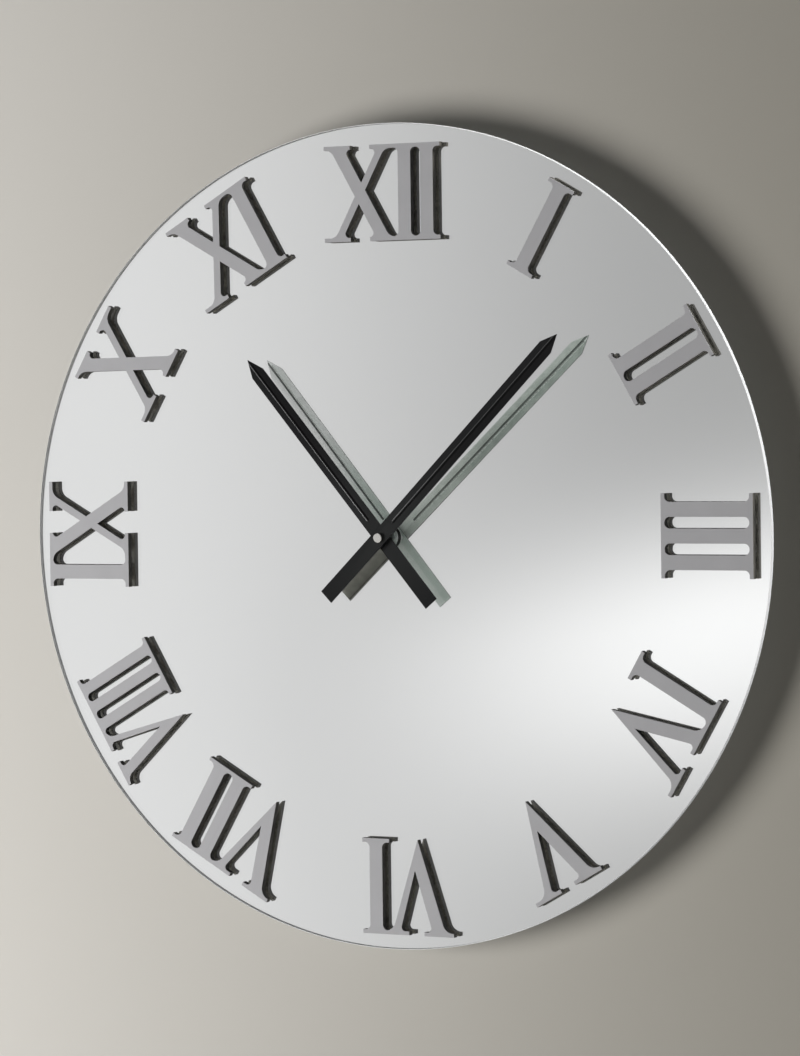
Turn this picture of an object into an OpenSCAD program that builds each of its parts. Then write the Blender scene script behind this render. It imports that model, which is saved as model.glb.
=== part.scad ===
// Round mirror wall clock with raised Roman numerals and a quartz movement.
// The wall is the plane y = 0, the face looks towards -Y and +Z is up. The origin is the
// middle of the keyhole's entry on the wall. Pieces are drawn in dial axes, where x is to
// the right, y is up and z comes forward from the front of the glass, and are then hung.

/* [Mirror] */
// Diameter of the mirror disc
mirror_d = 500; // [480:5:600]
// Thickness of the float glass
glass_t = 3; // [2:0.5:6]
// Small flat ground along both edges of the glass
glass_arris = 0.4; // [0.2:0.1:1]
// Thickness of the silver with its back paint
coat_t = 0.2; // [0.1:0.05:0.5]
// Bare margin between the edge of the silver and the edge of the glass
coat_margin = 0.6; // [0.5:0.1:3]
// Diameter of the hole drilled in the glass for the bush
glass_hole_d = 11; // [10.4:0.2:14]

/* [Numerals] */
// Distance from the edge of the disc to the middle of the numerals
ring_inset = 40; // [38:1:60]
// Height of the numerals
numeral_h = 58; // [50:1:62]
// Thickness of the numerals
numeral_t = 4; // [2:0.5:6]
// Width of the stems and of the thick arm of the V
stem_w = 8.8; // [7:0.1:10]
// Level width of the thick arm of the X
cross_w = 9.4; // [8:0.1:11]
// Level width of the thin arms
thin_w = 5.2; // [4:0.1:6]
// Gap between neighbouring stems
slot_w = 6.7; // [6:0.1:8]
// Reach of a serif beyond its stem
serif_reach = 4.9; // [4.5:0.1:6]
// Thickness of the serifs
serif_t = 2.4; // [1.6:0.1:3.5]
// Radius of the hollow between a stem and its serif
bracket_r = 3.3; // [2:0.1:3.3]
// Radius of the hollow in the sharp corner of a leaning arm
crotch_r = 2.5; // [1.5:0.1:2.6]
// Radius of the hollow on the open side of a leaning arm of the X
sweep_r = 7; // [4:0.5:7.5]
// Half the spread of the X's thick arm at the serifs
cross_spread = 17.2; // [16.5:0.1:18]
// Half the spread of the X's thin arm at the serifs
thin_spread = 16.2; // [15.5:0.1:17]
// Half the width of the X over its serifs
cross_half_w = 25.4; // [25:0.1:27]
// Half the gap between the X's serifs
cross_half_gap = 6.9; // [5:0.1:7]
// Reach of the V's thick arm from its point to the left
vee_left = 19.1; // [18:0.1:20]
// Reach of the V's thin arm from its point to the right
vee_right = 18.1; // [17:0.1:19]
// Reach of the serif beyond the V's thin arm
vee_thin_reach = 7; // [5.5:0.1:8]
// Height of the notch between the V's arms above its point
vee_notch_rise = 18.8; // [17:0.1:22]
// Clear width between the middle of an X and the next stem
cross_to_stem = 26.8; // [26:0.1:28]
// Clear width between the point of a V and a stem on its right
vee_to_stem = 24.2; // [23.5:0.1:25]
// Clear width between the point of a V and a stem on its left
stem_to_vee = 26.3; // [25.5:0.1:27.5]

/* [Hands] */
// Length of the minute hand from its axis to its point
minute_len = 173; // [140:0.1:178]
// Length of the minute hand's tail
minute_tail = 51.9; // [40:0.5:60]
// Width of the minute hand
minute_w = 9.7; // [8:0.1:12]
// Height of the minute hand's back above the glass, at its axis
minute_z = 11; // [10.8:0.1:14]
// Forward bend of the minute hand, in degrees
minute_bend_angle = 3; // [0:0.1:4]
// Bend of the minute hand's tail towards the glass, in degrees
minute_tail_bend_angle = 1; // [0:0.1:1.2]
// Angle that the minute hand points to, clockwise from twelve
minute_angle = 46; // [0:1:359]
// Length of the hour hand from its axis to its point
hour_len = 141.2; // [110:0.1:160]
// Length of the hour hand's tail
hour_tail = 51.4; // [40:0.5:60]
// Width of the hour hand
hour_w = 9.5; // [8:0.1:12]
// Height of the hour hand's back above the glass, at its axis
hour_z = 8; // [7.4:0.1:8.2]
// Forward tilt of the hour hand, in degrees
hour_bend_angle = 0.8; // [0:0.1:1]
// Angle that the hour hand points to, clockwise from twelve
hour_angle = 320.3; // [0:0.1:359.9]
// Sheet thickness of both hands
hand_t = 0.6; // [0.4:0.1:1]
// Length of the arrow points
hand_point = 10.8; // [6:0.2:16]
// Radius of the round rib pressed into both hands
rib_r = 0.8; // [0.6:0.1:1.2]
// Height of the rib above the sheet
rib_rise = 0.35; // [0.2:0.05:0.5]
// Distance from the axis to the start of the ribs
rib_start = 13.5; // [10:0.5:30]

/* [Shaft] */
// Diameter of the threaded bush
bush_d = 9.8; // [9:0.1:10.2]
// Height of the bush above the front of the glass
bush_rise = 4; // [3.6:0.1:4.6]
// Diameter of the hour tube
hour_tube_d = 5; // [4.6:0.1:5.6]
// Diameter of the minute shaft
minute_shaft_d = 3.5; // [3:0.1:3.8]
// Diameter of the thread that carries the cap nut
nut_thread_d = 2.5; // [2:0.1:2.7]
// Diameter of the cap nut
cap_nut_d = 5.6; // [5:0.1:8]
// Height of the cap nut
cap_nut_h = 2.3; // [2:0.1:3.5]
// Width across the flats of the fixing nut
fixing_nut_af = 12; // [11.5:0.1:16]
// Height of the fixing nut
fixing_nut_h = 2.4; // [2:0.1:2.6]
// Diameter of the washer under the fixing nut
washer_d = 14; // [13:0.1:22]
// Thickness of that washer
washer_t = 0.8; // [0.5:0.1:1]
// Diameter of the rubber washer behind the glass
rubber_d = 22; // [18:1:30]
// Thickness of the rubber washer
rubber_t = 2.2; // [0.8:0.1:3]
// Running clearance on the radius of every shaft
run_gap = 0.05; // [0.03:0.01:0.1]
// Seating clearance on the radius of every pushed or screwed piece
seat_gap = 0.02; // [0.01:0.01:0.05]

/* [Hanger] */
// Sheet thickness of the hanger bracket
hanger_t = 1.5; // [1:0.1:2.5]
// Width of the hanger bracket
hanger_w = 30; // [24:1:50]
// Height of the keyhole above the middle of the dial
hang_rise = 54; // [50:1:80]
// Diameter of the keyhole's entry for the screw's head
key_entry_d = 10; // [8:0.5:12]
// Width of the keyhole's slot for the screw's neck
key_slot_w = 5; // [4:0.5:6]
// Rise of the slot above the middle of the entry
key_slot_rise = 9; // [8:0.5:12]
// Clear depth between the movement and the wall
wall_clear = 2.6; // [2.2:0.1:6]
// Diameter of a rubber spacer where it is glued to the mirror
spacer_base_d = 26; // [18:1:40]
// Diameter of a rubber spacer at the wall
spacer_tip_d = 18; // [10:1:24]
// Distance of each spacer from the middle line
spacer_x = 120; // [60:5:150]
// Distance of the spacers below the middle of the dial
spacer_drop = 150; // [100:5:170]

/* [Movement] */
// Wall thickness of the case
case_wall = 1.4; // [1.2:0.1:2]
// Clear depth of the wheel chamber
chamber_depth = 13.7; // [13.6:0.1:16]
// Diameter of the round cell
cell_d = 14.5; // [14:0.1:14.6]
// Length of the cell without its button
cell_len = 49.2; // [48.5:0.1:49.6]
// Clearance round the cell in its bay
cell_gap = 0.35; // [0.2:0.05:0.6]
// Room for a contact at each end of the cell
contact_room = 1.35; // [0.8:0.05:2]
// Diameter of the wheel arbors
arbor_d = 1.2; // [0.8:0.1:1.3]
// Diameter of the setting knob
knob_d = 11; // [8:0.5:13]
// Height of the setting knob outside the cover
knob_h = 1.5; // [1:0.1:1.6]

/* [Hidden] */
$fn = 64;
lap = 0.3;

// Numeral words, how far each one strays from its hour line, and how narrow it is cut
WORDS = ["I", "II", "III", "IV", "V", "VI", "VII", "VIII", "IX", "X", "XI", "XII"];
SLIP = [0.5, -1.2, -1.5, 5.1, -0.8, -12.6, 0.7, -5.9, 1.5, 2.8, -4, 0.8];
RISE = [1.8, 1.9, 1, -1.8, 0.8, 1.5, -1, -1.5, 0.7, 1, -0.3, -2];
NARROW = [1, 1, 1, 1, 1, 1, 1, 0.8, 1, 1, 1, 0.97];

ring_r = mirror_d / 2 - ring_inset;
half_h = numeral_h / 2;
serif_y = half_h - serif_t;
cross_lean = 2 * cross_spread / numeral_h;
thin_lean = 2 * thin_spread / numeral_h;
slot_share = 0.49;
hollow_bite = 0.04;
vee_serif_left = vee_left + serif_reach;
vee_serif_right = vee_right + vee_thin_reach;
vee_open = [-3.9, 6.3];
vee_notch_x = 2;

// Depths along the dial's own axis
coat_back_z = -glass_t - coat_t;
hanger_front_z = coat_back_z - rubber_t;
case_front_z = hanger_front_z - hanger_t;
chamber_z = case_front_z - case_wall;
cover_z = chamber_z - chamber_depth;
case_back_z = cover_z - case_wall;
wall_z = case_back_z - wall_clear;

// Gaps in the stack of hands
hand_seat_gap = 0.1;
collet_wall = 1.5;
collet_rise = 1;
nut_lift = 0.2;
nut_roof = 0.5;
nut_play = 0.2;
nut_z = minute_z + hand_t + nut_lift;
tube_rise = 0.4;

// Case and battery bay in plan
partition_t = 1.2;
cell_button_d = 5.5;
cell_button_h = 1.3;
cell_shift = cell_button_h / 2;
room_half = (cell_len + cell_button_h) / 2 + contact_room;
case_half = room_half + case_wall;
case_w = 2 * case_half;
bay_h = cell_d + 2 * cell_gap;
bay_top_y = -room_half + bay_h;
chamber_bottom_y = bay_top_y + partition_t;
cell_y = -room_half + bay_h / 2;
cell_z = chamber_z - cell_gap - cell_d / 2;
contact_t = 0.4;
contact_layer = [4, 10];
contact_below = 6;
contact_above = 4;
contact_play = 0.05;
contact_pad_h = contact_room - contact_t - contact_play;
minus_pad_d = 7.5;

// Going train and motion work: teeth, centre distances and places in plan
rotor_teeth = 10;
middle_teeth = 50;
middle_leaves = 10;
seconds_teeth = 60;
seconds_leaves = 8;
third_teeth = 60;
third_leaves = 8;
centre_teeth = 64;
cannon_leaves = 12;
minute_teeth = 36;
minute_leaves = 10;
hour_teeth = 40;
knob_leaves = 12;

tooth_tip = 0.8;
tooth_root = 1.2;
root_share = 0.56;
tip_share = 0.16;

rotor_pitch = 7.5;
middle_pitch = 10.5;
third_pitch = 10.2;
motion_pitch = 7.2;

middle_angle = 140;
rotor_angle = 150;
third_angle = 0;
motion_angle = 60;

centre_at = [0, 0];
middle_at = middle_pitch * [cos(middle_angle), sin(middle_angle)];
rotor_at = middle_at + rotor_pitch * [cos(rotor_angle), sin(rotor_angle)];
third_at = third_pitch * [cos(third_angle), sin(third_angle)];
minute_at = motion_pitch * [cos(motion_angle), sin(motion_angle)];
knob_at = 2 * minute_at;

// Tooth phase of a wheel that meshes with another whose tooth stands at phase, along direction
function meshed(direction, phase, teeth, own_teeth) =
    direction + 180 - (phase - direction) * teeth / own_teeth - 180 / own_teeth;

cannon_phase = 0;
minute_phase = meshed(motion_angle, cannon_phase, cannon_leaves, minute_teeth);
knob_phase = meshed(motion_angle, minute_phase, minute_teeth, knob_leaves);
minute_leaf_phase = 0;
hour_phase = meshed(motion_angle + 180, minute_leaf_phase, minute_leaves, hour_teeth);
seconds_leaf_phase = 0;
third_phase = meshed(third_angle, seconds_leaf_phase, seconds_leaves, third_teeth);
third_leaf_phase = 0;
centre_phase = meshed(third_angle + 180, third_leaf_phase, third_leaves, centre_teeth);
seconds_phase = 0;
middle_leaf_phase = meshed(middle_angle, seconds_phase, seconds_teeth, middle_leaves);
middle_phase = 0;
rotor_phase = meshed(rotor_angle, middle_phase, middle_teeth, rotor_teeth);

// Layers of the train, as depths behind the inside of the case's front wall
hour_layer = [0.6, 1.8];
minute_layer = [2.4, 3.4];
centre_layer = [4.4, 5.4];
third_layer = [6.6, 7.6];
seconds_layer = [8.6, 9.6];
middle_layer = [10.6, 11.4];
leaf_over = 0.2;
stator_layer = [7.6, 8.8];
core_layer = [6.4, 7.6];
board_layer = [9, 10];
magnet_layer = [7, 9.4];
pivot_depth = 0.9;
pivot_end = 0.1;
through_layer = [pivot_end - pivot_depth, chamber_depth + pivot_depth - pivot_end];
minute_stud_d = 1.8;
minute_stud_h = 4;
knob_shaft_d = 2.4;
shaft_neck_d = 1.8;
neck_socket = 0.8;
bush_flange_d = 13;
bush_flange_t = 0.4;

// Stepping motor in plan
magnet_d = 6;
stator_hole_d = 6.6;
stator_rim = 1.2;
bridge_w = 3;
bridge_gap = 0.2;
coil_y = 20;
core_w = 3;
core_x = [-22, 2];
coil_x = [-17.2, -2.8];
coil_d = 6.8;
flange_d = 7.8;
leg_w = 4;

// Board in plan
board_gap = 0.1;
board_margin = 1;
board_x = [12, room_half - contact_t - board_gap];
board_y = [6.4, room_half - board_margin];
post_d = 3;

// Hangs dial axes on the wall
module hung() {
    translate([0, wall_z, -hang_rise])
        rotate([90, 0, 0])
            children();
}

// A tube or disc between two heights
module ring(outer_d, inner_d, low, high) {
    translate([0, 0, low])
        difference() {
            cylinder(d = outer_d, h = high - low);
            translate([0, 0, -1])
                cylinder(d = inner_d, h = high - low + 2);
        }
}

// A round rod or hole along the dial's axis, at a place in plan
module rod(place, diameter, low, high) {
    translate([place[0], place[1], low])
        cylinder(d = diameter, h = high - low);
}

// A plan shape between two depths behind the case's front wall
module slab(layer) {
    translate([0, 0, chamber_z - layer[1]])
        linear_extrude(layer[1] - layer[0])
            children();
}

// The mirror

module mirror_glass() {
    edge_r = mirror_d / 2;
    color("lightsteelblue")
        hung()
            rotate_extrude()
                polygon([
                    [glass_hole_d / 2, 0], [edge_r - glass_arris, 0], [edge_r, -glass_arris],
                    [edge_r, glass_arris - glass_t], [edge_r - glass_arris, -glass_t],
                    [glass_hole_d / 2, -glass_t]]);
}

module mirror_silvering() {
    color("gray")
        hung()
            ring(mirror_d - 2 * coat_margin, glass_hole_d, coat_back_z, -glass_t);
}

// Numerals, each cut as one plate

// Hollow under a top serif, to the right of an edge at x that leans by lean for each unit up.
// The round cut bites a little past both edges, so that it crosses them cleanly.
module bracket(x, lean, r) {
    slope = sqrt(1 + lean * lean);
    centre = [x + r * (slope - lean), serif_y - r];
    touch = centre - (r + lap) / slope * [1, -lean];
    linear_extrude(numeral_t)
        difference() {
            polygon([[x + lean * lap - lap, serif_y + lap], touch, centre, [centre[0], serif_y + lap]]);
            translate(centre)
                circle(r + hollow_bite);
        }
}

// An arm of a letter from its corners
module arm(corners) {
    linear_extrude(numeral_t)
        polygon(corners);
}

// The two hollows beside an arm, from where each edge meets the top, its lean and its radius
module brackets(left, left_lean, left_r, right, right_lean, right_r) {
    bracket(right - right_lean * serif_t, right_lean, right_r);
    mirror([1, 0, 0])
        bracket(left_lean * serif_t - left, -left_lean, left_r);
}

module serif(left, right) {
    translate([left, serif_y, 0])
        cube([right - left, serif_t, numeral_t]);
}

module stem(narrow) {
    half = narrow * stem_w / 2;
    reach = half + narrow * serif_reach;
    r = min(bracket_r, narrow * slot_share * slot_w);
    translate([-half, -half_h, 0])
        cube([2 * half, numeral_h, numeral_t]);
    for (foot = [0, 1])
        mirror([0, foot, 0]) {
            serif(-reach, reach);
            brackets(-half, 0, r, half, 0, r);
        }
}

module cross(narrow) {
    spread = narrow * cross_spread;
    half = narrow * cross_w / 2;
    thin = narrow * thin_spread;
    thin_half = narrow * thin_w / 2;
    arm([[-spread - half, half_h], [spread - half, -half_h], [spread + half, -half_h],
         [-spread + half, half_h]]);
    arm([[thin - thin_half, half_h], [-thin - thin_half, -half_h], [-thin + thin_half, -half_h],
         [thin + thin_half, half_h]]);
    for (turn = [0, 180])
        rotate(turn) {
            serif(-narrow * cross_half_w, -narrow * cross_half_gap);
            serif(narrow * cross_half_gap, narrow * cross_half_w);
            brackets(-spread - half, -narrow * cross_lean, narrow * sweep_r,
                     -spread + half, -narrow * cross_lean, crotch_r);
            brackets(thin - thin_half, narrow * thin_lean, crotch_r,
                     thin + thin_half, narrow * thin_lean, narrow * sweep_r);
        }
}

module vee(narrow) {
    left = narrow * vee_left;
    right = narrow * vee_right;
    thick = narrow * stem_w;
    thin = narrow * thin_w;
    notch = [narrow * vee_notch_x, vee_notch_rise - half_h];
    thick_lean = (thick - left - notch[0]) / (half_h - notch[1]);
    thin_arm_lean = (right - thin - notch[0]) / (half_h - notch[1]);
    arm([[-left, half_h], [0, -half_h], [right, half_h], [right - thin, half_h], notch,
         [thick - left, half_h]]);
    serif(-narrow * vee_serif_left, narrow * vee_open[0]);
    serif(narrow * vee_open[1], narrow * vee_serif_right);
    brackets(-left, -left / numeral_h, narrow * sweep_r, thick - left, thick_lean, crotch_r);
    brackets(right - thin, thin_arm_lean, crotch_r, right, right / numeral_h, narrow * sweep_r);
}

module letter(mark, narrow) {
    if (mark == "I") stem(narrow);
    if (mark == "V") vee(narrow);
    if (mark == "X") cross(narrow);
}

// Reach of a letter to its left and right, and the step from one letter to the next
stem_reach = stem_w / 2 + serif_reach;
function left_reach(mark) = mark == "I" ? stem_reach : mark == "V" ? vee_serif_left : cross_half_w;
function right_reach(mark) = mark == "I" ? stem_reach : mark == "V" ? vee_serif_right : cross_half_w;
function step(first, second) =
    first == "X" || second == "X" ? cross_to_stem + stem_w / 2
    : first == "V" ? vee_to_stem + stem_w / 2
    : second == "V" ? stem_to_vee + stem_w / 2
    : stem_w + slot_w;
function place(word, index) = index == 0 ? 0 : place(word, index - 1) + step(word[index - 1], word[index]);

module numeral(hour) {
    word = WORDS[hour - 1];
    narrow = NARROW[hour - 1];
    last = len(word) - 1;
    middle = (place(word, last) + right_reach(word[last]) - left_reach(word[0])) / 2;
    color("darkgray")
        hung()
            rotate(-30 * hour)
                translate([SLIP[hour - 1], ring_r + RISE[hour - 1], 0])
                    for (index = [0:last])
                        translate([narrow * (place(word, index) - middle), 0, 0])
                            letter(word[index], narrow);
}

// Hands

// A round bar with ball ends, used for the rib in front of a blade and the groove behind it
module rib(length, z) {
    translate([0, rib_start, z])
        rotate([-90, 0, 0])
            cylinder(r = rib_r, h = length - rib_start);
    for (y = [rib_start, length])
        translate([0, y, z])
            sphere(rib_r);
}

// A hand along +Y whose back is at z = 0, with its tail bent by its own angle
module hand(length, tail, width, bend, tail_bend, hole_d) {
    rib_z = hand_t + rib_rise - rib_r;
    rib_end = length - hand_point / 2;
    difference() {
        union() {
            rotate([bend, 0, 0]) {
                linear_extrude(hand_t)
                    polygon([[-width / 2, 0], [width / 2, 0], [width / 2, length - hand_point], [0, length],
                             [-width / 2, length - hand_point]]);
                rib(rib_end, rib_z);
            }
            rotate([tail_bend, 0, 0])
                translate([-width / 2, -tail, 0])
                    cube([width, tail, hand_t]);
        }
        rotate([bend, 0, 0])
            rib(rib_end, rib_z - hand_t);
        translate([0, 0, -hand_t])
            cylinder(d = hole_d, h = 3 * hand_t);
    }
}

module hour_hand() {
    color("black")
        hung()
            rotate(-hour_angle)
                translate([0, 0, hour_z])
                    hand(hour_len, hour_tail, hour_w, hour_bend_angle, hour_bend_angle,
                         hour_tube_d + 2 * seat_gap);
}

module hour_hand_collet() {
    bore_d = hour_tube_d + 2 * seat_gap;
    color("dimgray")
        hung()
            ring(bore_d + 2 * collet_wall, bore_d, bush_rise + collet_rise, hour_z - hand_seat_gap);
}

module minute_hand() {
    color("black")
        hung()
            rotate(-minute_angle)
                translate([0, 0, minute_z])
                    hand(minute_len, minute_tail, minute_w, minute_bend_angle, minute_tail_bend_angle,
                         nut_thread_d + 2 * seat_gap);
}

module cap_nut() {
    crown = 0.3;
    color("silver")
        hung()
            difference() {
                translate([0, 0, nut_z])
                    rotate_extrude()
                        polygon([[0, 0], [cap_nut_d / 2, 0], [cap_nut_d / 2, cap_nut_h - crown],
                                 [cap_nut_d / 2 - crown, cap_nut_h], [0, cap_nut_h]]);
                translate([0, 0, nut_z - 1])
                    cylinder(d = nut_thread_d + 2 * seat_gap, h = cap_nut_h - nut_roof + 1);
            }
}

// What clamps the movement to the glass

module dial_washer() {
    color("goldenrod")
        hung()
            ring(washer_d, bush_d + 2 * seat_gap, 0, washer_t);
}

module fixing_nut() {
    color("goldenrod")
        hung()
            translate([0, 0, washer_t])
                difference() {
                    cylinder(d = fixing_nut_af / cos(30), h = fixing_nut_h, $fn = 6);
                    translate([0, 0, -1])
                        cylinder(d = bush_d + 2 * seat_gap, h = fixing_nut_h + 2);
                }
}

module threaded_bush() {
    color("goldenrod")
        hung()
            difference() {
                union() {
                    translate([0, 0, chamber_z - bush_flange_t])
                        cylinder(d = bush_d, h = bush_rise - chamber_z + bush_flange_t);
                    translate([0, 0, chamber_z - bush_flange_t])
                        cylinder(d = bush_flange_d, h = bush_flange_t);
                }
                translate([0, 0, chamber_z - 2])
                    cylinder(d = hour_tube_d + 2 * run_gap, h = bush_rise - chamber_z + 4);
            }
}

module rubber_washer() {
    color("dimgray")
        hung()
            ring(rubber_d, bush_d + 2 * seat_gap, hanger_front_z, coat_back_z);
}

// Hanging

module hanger_bracket() {
    tab_margin = 6;
    web_clear = 1.5;
    web_y = case_half + web_clear + hanger_t;
    tab_top = hang_rise + key_slot_rise + key_slot_w / 2 + tab_margin;
    color("silver")
        hung()
            difference() {
                union() {
                    translate([-hanger_w / 2, -hanger_w / 2, case_front_z])
                        cube([hanger_w, web_y + hanger_w / 2, hanger_t]);
                    translate([-hanger_w / 2, web_y - hanger_t, wall_z])
                        cube([hanger_w, hanger_t, hanger_front_z - wall_z]);
                    translate([-hanger_w / 2, web_y - hanger_t, wall_z])
                        cube([hanger_w, tab_top - web_y + hanger_t, hanger_t]);
                }
                translate([0, 0, case_front_z - 1])
                    cylinder(d = bush_d + 2 * seat_gap, h = hanger_t + 2);
                translate([0, hang_rise, wall_z - 1]) {
                    cylinder(d = key_entry_d, h = hanger_t + 2);
                    translate([-key_slot_w / 2, 0, 0])
                        cube([key_slot_w, key_slot_rise, hanger_t + 2]);
                    translate([0, key_slot_rise, 0])
                        cylinder(d = key_slot_w, h = hanger_t + 2);
                }
            }
}

module wall_spacers() {
    foot_h = 3;
    color("dimgray")
        hung()
            for (side = [-1, 1])
                translate([side * spacer_x, -spacer_drop, 0])
                    rotate_extrude()
                        polygon([
                            [0, coat_back_z], [spacer_base_d / 2, coat_back_z],
                            [spacer_base_d / 2, coat_back_z - foot_h],
                            [spacer_tip_d / 2, wall_z], [0, wall_z]]);
}

// Movement shells

// Blind pivot holes for the arbors that run from the case to the cover
module pivots(low, high) {
    for (place = [middle_at, rotor_at, third_at, knob_at])
        rod(place, arbor_d + 2 * run_gap, low, high);
}

module movement_case() {
    color([0.16, 0.16, 0.17])
        hung() {
            difference() {
                union() {
                    translate([-case_half, -case_half, cover_z])
                        cube([case_w, case_w, case_front_z - cover_z]);
                    translate([-case_half, -case_half, case_back_z])
                        cube([case_w, bay_top_y + case_half, cover_z - case_back_z + lap]);
                }
                translate([-room_half, chamber_bottom_y, cover_z - 1])
                    cube([2 * room_half, room_half - chamber_bottom_y, chamber_depth + 1]);
                translate([-room_half, -room_half, case_back_z - 1])
                    cube([2 * room_half, bay_h, chamber_depth + case_wall + 1]);
                contact_slots();
                rod(centre_at, bush_d + 2 * seat_gap, chamber_z - 1, case_front_z + 1);
                pivots(chamber_z - 1, chamber_z + pivot_depth);
            }
            rod(minute_at, minute_stud_d, chamber_z - minute_stud_h, chamber_z);
            for (x = [core_x[0] + leg_w / 2, core_x[1] - leg_w / 2])
                rod([x, coil_y], post_d, chamber_z - core_layer[0], chamber_z);
            rod([board_x[0] + post_d, board_y[1] - post_d], post_d, chamber_z - board_layer[0], chamber_z);
            rod([board_x[1] - post_d, board_y[0] + post_d], post_d, chamber_z - board_layer[0], chamber_z);
        }
}

// Slots in the wall over the battery bay that let the contacts through
module contact_slots() {
    slot_t = 2 * contact_t;
    for (x = [-room_half, room_half - slot_t])
        translate([x, bay_top_y - 1, chamber_z - contact_layer[1] - lap])
            cube([slot_t, chamber_bottom_y - bay_top_y + 2, contact_layer[1] - contact_layer[0] + 2 * lap]);
}

module rear_cover() {
    lip_gap = 0.15;
    lip_h = 0.8;
    lip_t = 0.8;
    boss_d = 4;
    lip_half = room_half - lip_gap;
    lip_bottom = chamber_bottom_y + lip_gap;
    color([0.16, 0.16, 0.17])
        hung()
            difference() {
                union() {
                    translate([-case_half, bay_top_y, case_back_z])
                        cube([case_w, case_half - bay_top_y, case_wall]);
                    difference() {
                        translate([-lip_half, lip_bottom, cover_z])
                            cube([2 * lip_half, lip_half - lip_bottom, lip_h]);
                        translate([lip_t - lip_half, lip_bottom + lip_t, cover_z - 1])
                            cube([2 * lip_half - 2 * lip_t, lip_half - lip_bottom - 2 * lip_t, lip_h + 2]);
                    }
                    for (place = [middle_at, rotor_at, third_at, knob_at, centre_at])
                        rod(place, boss_d, cover_z, cover_z + lip_h);
                }
                for (place = [middle_at, rotor_at, third_at, centre_at])
                    rod(place, arbor_d + 2 * run_gap, cover_z - pivot_depth, cover_z + 2);
                rod(knob_at, knob_shaft_d + 2 * run_gap, case_back_z - 1, cover_z + 2);
            }
}

// Power

module battery() {
    color("darkgreen")
        hung()
            translate([-cell_shift, cell_y, cell_z])
                rotate([0, 90, 0]) {
                    translate([0, 0, -cell_len / 2])
                        cylinder(d = cell_d, h = cell_len);
                    translate([0, 0, cell_len / 2 - lap])
                        cylinder(d = cell_button_d, h = cell_button_h + lap);
                }
}

// A strip against the end wall of the bay, with a raised pad that meets the cell
module contact(side, pad_d) {
    strip_y = [cell_y - contact_below, board_y[0] + contact_above];
    face_x = room_half - contact_t;
    color("silver")
        hung()
            mirror([side < 0 ? 1 : 0, 0, 0]) {
                translate([face_x, strip_y[0], chamber_z - contact_layer[1]])
                    cube([contact_t, strip_y[1] - strip_y[0], contact_layer[1] - contact_layer[0]]);
                translate([face_x - contact_pad_h, cell_y, cell_z])
                    rotate([0, 90, 0])
                        cylinder(d = pad_d, h = contact_pad_h + contact_t / 2);
            }
}

module battery_contact_plus() {
    contact(1, cell_button_d);
}

module battery_contact_minus() {
    contact(-1, minus_pad_d);
}

// Electronics

module circuit_board() {
    chip_d = 6;
    chip_h = 1;
    chip_at = [board_x[0] + 5, board_y[0] + 6];
    color("seagreen")
        hung() {
            slab(board_layer)
                translate([board_x[0], board_y[0]])
                    square([board_x[1] - board_x[0], board_y[1] - board_y[0]]);
            rod(chip_at, chip_d, chamber_z - board_layer[1] - chip_h, chamber_z - board_layer[0]);
        }
}

module quartz_crystal() {
    can_d = 2;
    can_len = 6;
    can_margin = 3;
    can_z = chamber_z - board_layer[1] - can_d / 2 - seat_gap;
    color("silver")
        hung()
            translate([board_x[1] - can_margin, board_y[1] - can_margin, can_z])
                rotate([90, 0, 0])
                    cylinder(d = can_d, h = can_len);
}

// Stepping motor

module along_x(x, diameter) {
    translate([x[0], coil_y, chamber_z - (core_layer[0] + core_layer[1]) / 2])
        rotate([0, 90, 0])
            cylinder(d = diameter, h = x[1] - x[0]);
}

module core_bar(gap) {
    slab([core_layer[0] - gap, core_layer[1] + gap])
        translate([core_x[0], coil_y - core_w / 2 - gap])
            square([core_x[1] - core_x[0], core_w + 2 * gap]);
}

module coil() {
    flange_t = 0.8;
    color("peru")
        hung()
            difference() {
                union() {
                    along_x(coil_x, coil_d);
                    for (x = [coil_x[0], coil_x[1] - flange_t])
                        along_x([x, x + flange_t], flange_d);
                }
                core_bar(seat_gap);
            }
}

module coil_core() {
    color("gray")
        hung()
            core_bar(0);
}

module stator() {
    plate_half = stator_hole_d / 2 + stator_rim;
    plate_x = [core_x[0], rotor_at[0] + plate_half];
    plate_y = [rotor_at[1] - plate_half, rotor_at[1] + plate_half];
    bridge_top = coil_y - flange_d / 2 - bridge_gap;
    bridge_y = [bridge_top - bridge_w, bridge_top];
    leg_top = coil_y + core_w / 2;
    color("slategray")
        hung()
            slab(stator_layer)
                difference() {
                    union() {
                        translate([plate_x[0], plate_y[0]])
                            square([plate_x[1] - plate_x[0], plate_y[1] - plate_y[0]]);
                        translate([core_x[0], plate_y[0]])
                            square([leg_w, leg_top - plate_y[0]]);
                        translate([plate_x[1] - leg_w, bridge_y[0]])
                            square([core_x[1] - plate_x[1] + leg_w, bridge_y[1] - bridge_y[0]]);
                        translate([core_x[1] - leg_w, bridge_y[0]])
                            square([leg_w, leg_top - bridge_y[0]]);
                    }
                    translate(rotor_at)
                        circle(d = stator_hole_d);
                }
}

// Wheels

// Plan of a toothed wheel with straight-sided teeth and working backlash
module teeth(count, pitch_r, phase) {
    tooth_size = 2 * pitch_r / count;
    tip_r = pitch_r + tooth_tip * tooth_size;
    root_r = pitch_r - tooth_root * tooth_size;
    spacing = 360 / count;
    corners = [[root_r, -root_share], [tip_r, -tip_share], [tip_r, tip_share], [root_r, root_share]];
    polygon([for (tooth = [0:count - 1])
             for (corner = corners)
                 let (angle = phase + spacing * (tooth + corner[1] / 2))
                     corner[0] * [cos(angle), sin(angle)]]);
}

function leaf_layer(layer) = [layer[0] - leaf_over, layer[1] + leaf_over];

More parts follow.
